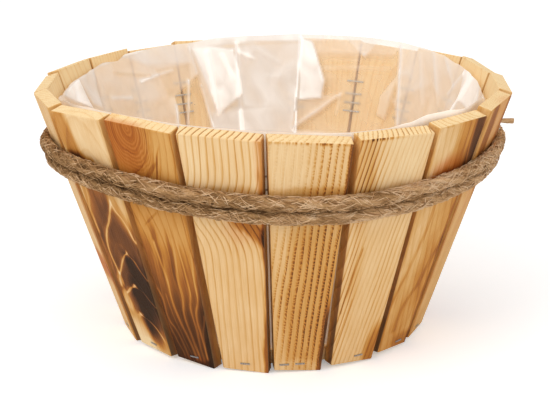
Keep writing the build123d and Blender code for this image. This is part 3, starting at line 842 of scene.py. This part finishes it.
# Flat folds on the wall: how milky they look, lift in mm, soft edge in mm, and corners as azimuth and height
panes = (
    (0.7, 0, 3, (232, 168, 112, 168, 112, 160, 232, 156)),
    (0.66, 0, 3, (246, 156, 222, 160, 216, 120, 246, 126)),
    (0.6, 0, 3, (252, 131, 216, 124, 214, 100, 250, 108)),
    (0.99, 1.2, 0.9, (271, 151, 254.4, 154, 250.5, 131, 259.5, 140)),
    (0.82, 0.8, 0.9, (254.4, 153.9, 244.2, 156, 246.2, 130, 250, 135)),
    (0.82, 0.5, 1.8, (234, 162, 206.3, 163, 206.3, 148, 222, 150)),
    (0.46, -0.6, 2, (219, 146, 207, 147, 206.5, 126, 216, 126)),
    (0.18, -0.8, 1.2, (214, 126, 204.3, 140, 201.5, 100, 213, 98)),
    (0.96, 1, 1.4, (206.2, 162, 192.2, 156, 189.2, 125.5, 198.9, 109)),
    (0.86, 0, 2.5, (201, 112, 172, 118, 172, 96, 202, 96)),
    (0.84, 0, 1.5, (191, 158, 171.6, 160, 171.8, 114, 190, 115)),
    (0.9, 0.4, 1.6, (206, 166, 171, 167, 171, 161, 206, 158)),
    (0.22, -0.8, 1, (168, 158, 139.4, 160, 133, 98, 172, 98)),
    (0.46, 0.4, 1, (172, 121, 157, 125.5, 163, 112, 173, 99)),
    (0.5, 0.2, 1, (168, 162, 140.6, 166, 139.8, 157, 167, 152.6)),
    (0.14, -0.4, 1, (165, 147.6, 140, 151.6, 140, 149.4, 165, 145.2)),
    (0.15, -0.4, 1, (164, 141.4, 140, 144.6, 140, 142.8, 164, 139.4)),
    (0.72, 0.5, 1, (159, 168, 145.5, 168, 150.6, 152.4)),
    (0.54, 0.8, 0.9, (143, 114, 142.6, 127, 137, 145, 139, 112)),
    (0.95, 1.4, 0.9, (171.2, 163.5, 167.6, 161, 162.7, 134, 163.3, 121.5, 171, 119.5)),
    (0.7, 0.4, 0.9, (138.9, 168, 120, 168, 95, 158, 92, 140, 104, 116, 132.6, 110)),
    (0.56, 0, 2.5, (137, 126, 123, 142, 112, 130, 130, 106)),
    (0.94, 0.8, 1.2, (110, 162, 97, 160, 91, 146, 97, 136, 106.5, 139)),
)
# Creases: azimuth and height of both ends, half width and height in mm, and how white they look
creases = (
    (244.3, 156, 223, 161.4, 1.1, 0.4, 0.2), (225.7, 140.3, 213.4, 144.3, 1.2, 0.8, 0.3),
    (240, 134, 231, 130.5, 1.4, 0.6, 0.2), (236, 150, 222, 143, 1.4, 0.5, -0.15),
    (208.3, 136, 210.3, 106, 1.1, 1.2, 0.7), (206.4, 160, 204.1, 131.8, 1, 1, 0.2),
    (204.1, 131.8, 201.3, 102, 1, 1, 0.45), (200.8, 154, 199, 112, 2, 1.4, 0.2),
    (196, 152, 193, 136, 1.6, 0.7, 0.15), (192.4, 156, 186, 149, 1.5, 0.6, 0.12),
    (171.1, 164, 172.2, 112, 1, 1, 0.3), (172.8, 99, 156.9, 125.4, 1.5, 0.9, 0.3),
    (156.9, 125.4, 158, 111, 1.2, 0.6, 0.2), (165, 151.6, 141, 156, 1.4, 0.5, 0.16),
    (163, 143, 141, 147.4, 1.4, 0.4, 0.08), (138.8, 164, 132.7, 110, 1, 1, 0.3),
    (113.3, 140, 109, 156, 1.5, 0.7, 0.2), (108.6, 131, 102.6, 157, 1.8, 0.9, 0.35),
    (126, 165, 117, 131, 1.8, 0.6, 0.1), (131, 160, 124, 128, 1.8, 0.5, 0.08),
    (120, 162, 112, 146, 1.6, 0.5, 0.1), (214, 120, 214.6, 104, 1.1, 0.6, 0.35),
    (186, 158, 178, 146, 2.2, 0.6, 0.06), (153.2, 158, 153.2, 98, 1.6, 0.2, 0.06),
    (191, 160, 191, 94, 1.7, 0.2, 0.2), (172.1, 114, 172.1, 94, 1.7, 0.2, 0.2),
)


def edgeHeight(azimuth):
    azimuth %= 360
    for (a, low), (b, high) in zip(film["edge"], film["edge"][1:]):
        if a <= azimuth <= b:
            return (low + (high - low) * smooth(a, b, azimuth)) * mm
    return film["edge"][0][1] * mm


def foldShare(column, level):  # how far a corner of the coarse folds stands off the wall
    across, upwards, scale = film["foldMix"]
    mixed = sin(across * (column % film["folds"]) + upwards * level) * scale
    return (mixed - floor(mixed)) * film["foldShares"][level]


def foldDepth(azimuth, share):  # flat triangles between those corners
    levels = len(film["foldShares"]) - 1
    level = min(int(share * levels), levels - 1)
    b = share * levels - level
    along = azimuth * film["folds"] / 360 - level / 2 - b / 2
    column = floor(along)
    a = along - column
    nextLow, high = foldShare(column + 1, level), foldShare(column, level + 1)
    if a + b < 1:
        low = foldShare(column, level)
        return low + a * (nextLow - low) + b * (high - low)
    return nextLow * (1 - b) + high * (1 - a) + foldShare(column + 1, level + 1) * (a + b - 1)


def corner(i, j, seed):
    return 0.5 + 0.5 * noise.cell(Vector((i, j, seed)))


def facets(u, v, seed):  # flat triangles between random heights, as in crumpled film
    skew = (u + v) * 0.366
    i, j = floor(u + skew), floor(v + skew)
    a, b = u + skew - i, v + skew - j
    low, high = corner(i, j, seed), corner(i + 1, j + 1, seed)
    if a > b:
        middle = corner(i + 1, j, seed)
        return low + a * (middle - low) + b * (high - middle)
    middle = corner(i, j + 1, seed)
    return low + b * (middle - low) + a * (high - middle)


def crumple(azimuth, distance, which, seed):
    across, upwards, depth = film[which]
    u = radians(azimuth) * film["middleRadius"] / across
    v = distance / upwards
    warp = waver((u * 0.8, v * 0.8, seed * 3)) * 0.9
    return facets(u + warp, v - u * 0.35 + warp * 0.6, seed) * depth


def crumpleRound(azimuth, distance, which, seed):  # the same, without a seam where the azimuths meet
    here = crumple(azimuth, distance, which, seed)
    return here + (crumple(azimuth - 360, distance, which, seed) - here) * smooth(345, 360, azimuth)


mmPerDegree = radians(innerRadius(film["paneHeight"])) / mm


def insidePane(azimuth, height, corners, soft):
    nearest = 99
    for (a, low), (b, high) in zip(corners, corners[1:] + corners[:1]):
        edgeAcross, edgeUp = (b - a) * mmPerDegree, high - low
        away = (azimuth - a) * mmPerDegree * edgeUp - (height - low) * edgeAcross
        nearest = min(nearest, away / hypot(edgeAcross, edgeUp))
    return smooth(-soft, soft, nearest)


def turnedRight(corners):  # corners in the order in which the inside lies on one hand
    total = sum((b - a) * (low + high) for (a, low), (b, high) in zip(corners, corners[1:] + corners[:1]))
    return corners if total > 0 else corners[::-1]


panes = [(milk, lift, soft, turnedRight(inPairs(corners))) for milk, lift, soft, corners in panes]


def onCrease(azimuth, height, crease):
    a, low, b, high, halfWidth = crease[:5]
    across, upwards = (b - a) * mmPerDegree, high - low
    u, v = (azimuth - a) * mmPerDegree, height - low
    share = min(max((u * across + v * upwards) / (across * across + upwards * upwards), 0), 1)
    away = hypot(u - across * share, v - upwards * share)
    return exp(-(away / halfWidth) ** 2) if away < 3 * halfWidth else 0


def filmPlace(azimuth, height, distance, share):  # depth off the wall, and how milky
    small = crumpleRound(azimuth, distance, "crumple", 9)
    wide = crumpleRound(azimuth, distance, "shell", 5)
    depth = foldDepth(azimuth, share) * film["foldDepth"]
    milk = film["milk"] + wide / film["shell"][2] * 0.28 + small / film["crumple"][2] * 0.14
    height = height / mm
    lift = 0
    for paneMilk, paneLift, soft, corners in panes:
        if min(c[0] for c in corners) - 3 < azimuth < max(c[0] for c in corners) + 3:
            inside = insidePane(azimuth, height, corners, soft)
            varied = paneMilk + (small / film["crumple"][2] - 0.5) * 0.16
            milk += (varied - milk) * inside
            lift += (paneLift - lift) * inside
    for crease in creases:
        if min(crease[0], crease[2]) - 3 < azimuth < max(crease[0], crease[2]) + 3:
            near = onCrease(azimuth, height, crease)
            lift += crease[5] * near
            milk += crease[6] * near
    front = 1 - smooth(*film["front"], min(azimuth, 360 - azimuth))
    nearEdge = smooth(9, 1, (edgeHeight(azimuth) / mm) - height)
    milk += (film["frontMilk"] + 0.1 * nearEdge - milk) * front
    depth += (small + wide) * (1 - 0.7 * front) + lift * mm
    return max(depth * (1 - 0.75 * front * nearEdge), 0), min(max(milk, 0), 1)


def makeFilm():
    cosLean, sinLean = cos(lean), sin(lean)
    floorRadius = innerRadius(film["floor"]) - film["clearance"] / cosLean
    rows = film["floorRows"] + film["wallRows"]
    points, faces, shade, uvs = [Vector((0, 0, film["floor"]))], [], [0.3], [(0.5, 0.5)]
    for i in range(film["columns"]):
        azimuth = 360 * i / film["columns"]
        wallLength = (edgeHeight(azimuth) - film["floor"]) / cosLean
        for row in range(1, rows + 1):
            if row <= film["floorRows"]:
                distance = floorRadius * row / film["floorRows"]
                depth = crumpleRound(azimuth, distance, "crumple", 3) * smooth(0, 0.04, distance) * 1.2
                radius, height, milk = distance, film["floor"] + depth, 0.4
            else:
                share = ((row - film["floorRows"]) / film["wallRows"]) ** 0.8
                along = share * wallLength
                level = film["floor"] + along * cosLean
                depth, milk = filmPlace(azimuth, level, floorRadius + along, share)
                depth *= smooth(0, 0.03, along) * 0.9 + 0.1
                height = level + depth * sinLean
                radius = innerRadius(level) - film["clearance"] / cosLean - depth * cosLean
                distance = floorRadius + along
            points.append(radial(azimuth) * radius + Vector((0, 0, height)))
            shade.append(milk)
            uvs.append((azimuth / 360, distance * 4))
    for i in range(film["columns"]):
        a, b = 1 + i * rows, 1 + (i + 1) % film["columns"] * rows
        faces.append((0, b, a))
        for row in range(rows - 1):
            faces.append((a + row, b + row, b + row + 1, a + row + 1))
    piece = meshPiece("filmLiner", points, faces, uvs, shade)
    area = sum(face.area for face in piece.data.polygons)
    print("film faces", len(faces), "area", round(area, 4))
    return piece


# Colour of the film from clear to milky, and a painted glow in place of the light that comes through it:
# faint everywhere, brighter where the film is milkiest
filmStops = ((0, (255, 228, 190)), (0.65, (255, 238, 218)), (0.85, (244, 234, 224)), (1, (255, 250, 244)))
paintedGlowStops = ((0, (0.04, 0.037, 0.034, 1)), (0.9, (0.04, 0.037, 0.034, 1)), (1, (0.17, 0.16, 0.15, 1)))


def filmFinish():
    material, start = newMaterial("milkyFilm")
    milk = start.node("Attribute", {"attribute_name": "shade"}, None, "Fac")
    place = start.node("TexCoord", output="Object")
    haze = place.grains((0.02, 0.02, 0.03), 0, 2)
    alpha = milk * 0.86 + haze * 0.16 + 0.02
    wrinkle = place.grains((0.007, 0.007, 0.02), 4, 3)
    bump = start.node("Bump", None, {"Strength": 0.3, "Distance": 0.001, "Height": wrinkle})
    sockets = {
        "Base Color": milk.ramp(filmStops), "Roughness": 0.32, "Alpha": alpha, "Normal": bump,
        # painted light: the film glows by emission, faintly everywhere and brighter where it is milkiest
        "Emission Color": milk.ramp(paintedGlowStops), "Emission Strength": 1,
    }
    return finished(material, start, sockets)


filmLiner = makeFilm()
dress(filmLiner, filmFinish())
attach(filmLiner, body)
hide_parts("liner")
print("film made")

# The strand end that stands out at the right, above the rope
strandEnd = {"radius": 1.85 * mm, "sides": 14, "rings": 26, "reach": 163.6 * mm}


def makeStrandEnd():
    low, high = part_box("rope_strand_end")
    middle = (low + high) / 2
    azimuth = degrees(atan2(middle.x, -middle.y))
    out = radial(azimuth)
    points = [v.co for v in nodes["rope_strand_end"].data.vertices]
    near, far = min(p.dot(out) for p in points), max(p.dot(out) for p in points)
    droop = atan2(high.z - low.z - 2 * strandEnd["radius"], far - near)
    along = out * cos(droop) - Vector((0, 0, sin(droop)))
    start = middle - along * (far - near) / 2
    length = (strandEnd["reach"] - near) / cos(droop)
    side = tangential(azimuth)
    upwards = side.cross(along) * -1
    points, faces, shade, uvs, rings = [], [], [], [], []
    for i in range(strandEnd["rings"] + 1):
        share = i / strandEnd["rings"]
        centre = start + along * share * length + upwards * 0.3 * mm * sin(share * 7)
        circle = []
        for j in range(strandEnd["sides"]):
            around = 2 * pi * j / strandEnd["sides"]
            lobe = abs(cos(around + share * 5))
            ragged = waver((share * 14, around * 2, 4))
            radius = strandEnd["radius"] * (0.8 + 0.2 * lobe + 0.08 * ragged)
            circle.append(centre + (side * cos(around) + upwards * sin(around)) * radius)
            # painted shade: the end is darker in the grooves between its lobes
            shade.append(0.1 + 0.3 * lobe)
            uvs.append((share * 16, around / 6.28))
        rings.append(circle)
    addTube(points, faces, rings)
    return meshPiece("ropeStrandEnd", points, faces, uvs, shade)


strand = makeStrandEnd()
dress(strand, juteFinish("juteEnd", True))
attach(strand, body)
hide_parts("rope_strand_end")

# Floor, light and camera
studio = {
    "floorSize": 12,
    "floorLift": -0.4 * mm,
    "floorWhite": 0.95,
    "floorGlow": 0.3,
    "skyLight": 0.78,
    "lampTarget": (0, 0, 0.08),
    "key": ((-0.9, -1, 1.3), 10, 1.1),  # place, power, size
    "fill": ((1.1, -0.9, 0.8), 3, 1),
}
camera = {
    "place": (0, -0.91268, 0.35714),
    "pitch": 73.037,
    "lens": 93.63,
    "sensor": 36,
    "shift": (0.00429, -0.00634),
}


def makeFloor():
    bpy.ops.object.select_all(action="DESELECT")
    bpy.ops.mesh.primitive_plane_add(size=studio["floorSize"], location=(0, 0, studio["floorLift"]))
    ground = bpy.context.active_object
    ground.name = "floor"
    material, start = newMaterial("paleFloor")
    seen = start.node("LightPath", output="Is Camera Ray")
    white = studio["floorWhite"]
    sockets = {"Base Color": (white, white, white, 1), "Roughness": 0.9, "Emission Color": (1, 1, 1, 1)}
    plain = start.node("BsdfPrincipled", None, {**sockets, "Emission Strength": 0})
    lifted = start.node("BsdfPrincipled", None, {**sockets, "Emission Strength": studio["floorGlow"]})
    mixed = start.node("MixShader", None, {0: seen, 1: plain, 2: lifted})
    endTree(start, "ShaderNodeOutputMaterial", mixed)
    dress(ground, material)


def makeSky():
    world = bpy.data.worlds.new("sky")
    bpy.context.scene.world = world
    world.use_nodes = True
    world.node_tree.nodes.clear()
    start = Flow(world.node_tree)
    rays = start.node("LightPath", output="Is Camera Ray")
    sky = start.node("Background", None, {"Color": (1, 1, 1, 1), "Strength": studio["skyLight"]})
    white = start.node("Background", None, {"Color": (1, 1, 1, 1), "Strength": 1})
    endTree(start, "ShaderNodeOutputWorld", start.node("MixShader", None, {0: rays, 1: sky, 2: white}))


def addLamp(name):
    place, power, size = studio[name]
    bpy.ops.object.light_add(type="AREA", location=place)
    lamp = bpy.context.active_object
    lamp.name = name
    lamp.data.energy = power
    lamp.data.size = size
    lamp.rotation_euler = (Vector(studio["lampTarget"]) - Vector(place)).to_track_quat("-Z", "Y").to_euler()


def makeCamera():
    bpy.ops.object.camera_add(location=camera["place"])
    eye = bpy.context.active_object
    eye.rotation_euler = (radians(camera["pitch"]), 0, 0)
    eye.data.lens = camera["lens"]
    eye.data.sensor_width = camera["sensor"]
    eye.data.shift_x, eye.data.shift_y = camera["shift"]
    bpy.context.scene.camera = eye


makeFloor()
makeSky()
addLamp("key")
addLamp("fill")
makeCamera()
bpy.context.scene.view_settings.view_transform = "Standard"
print("studio set")
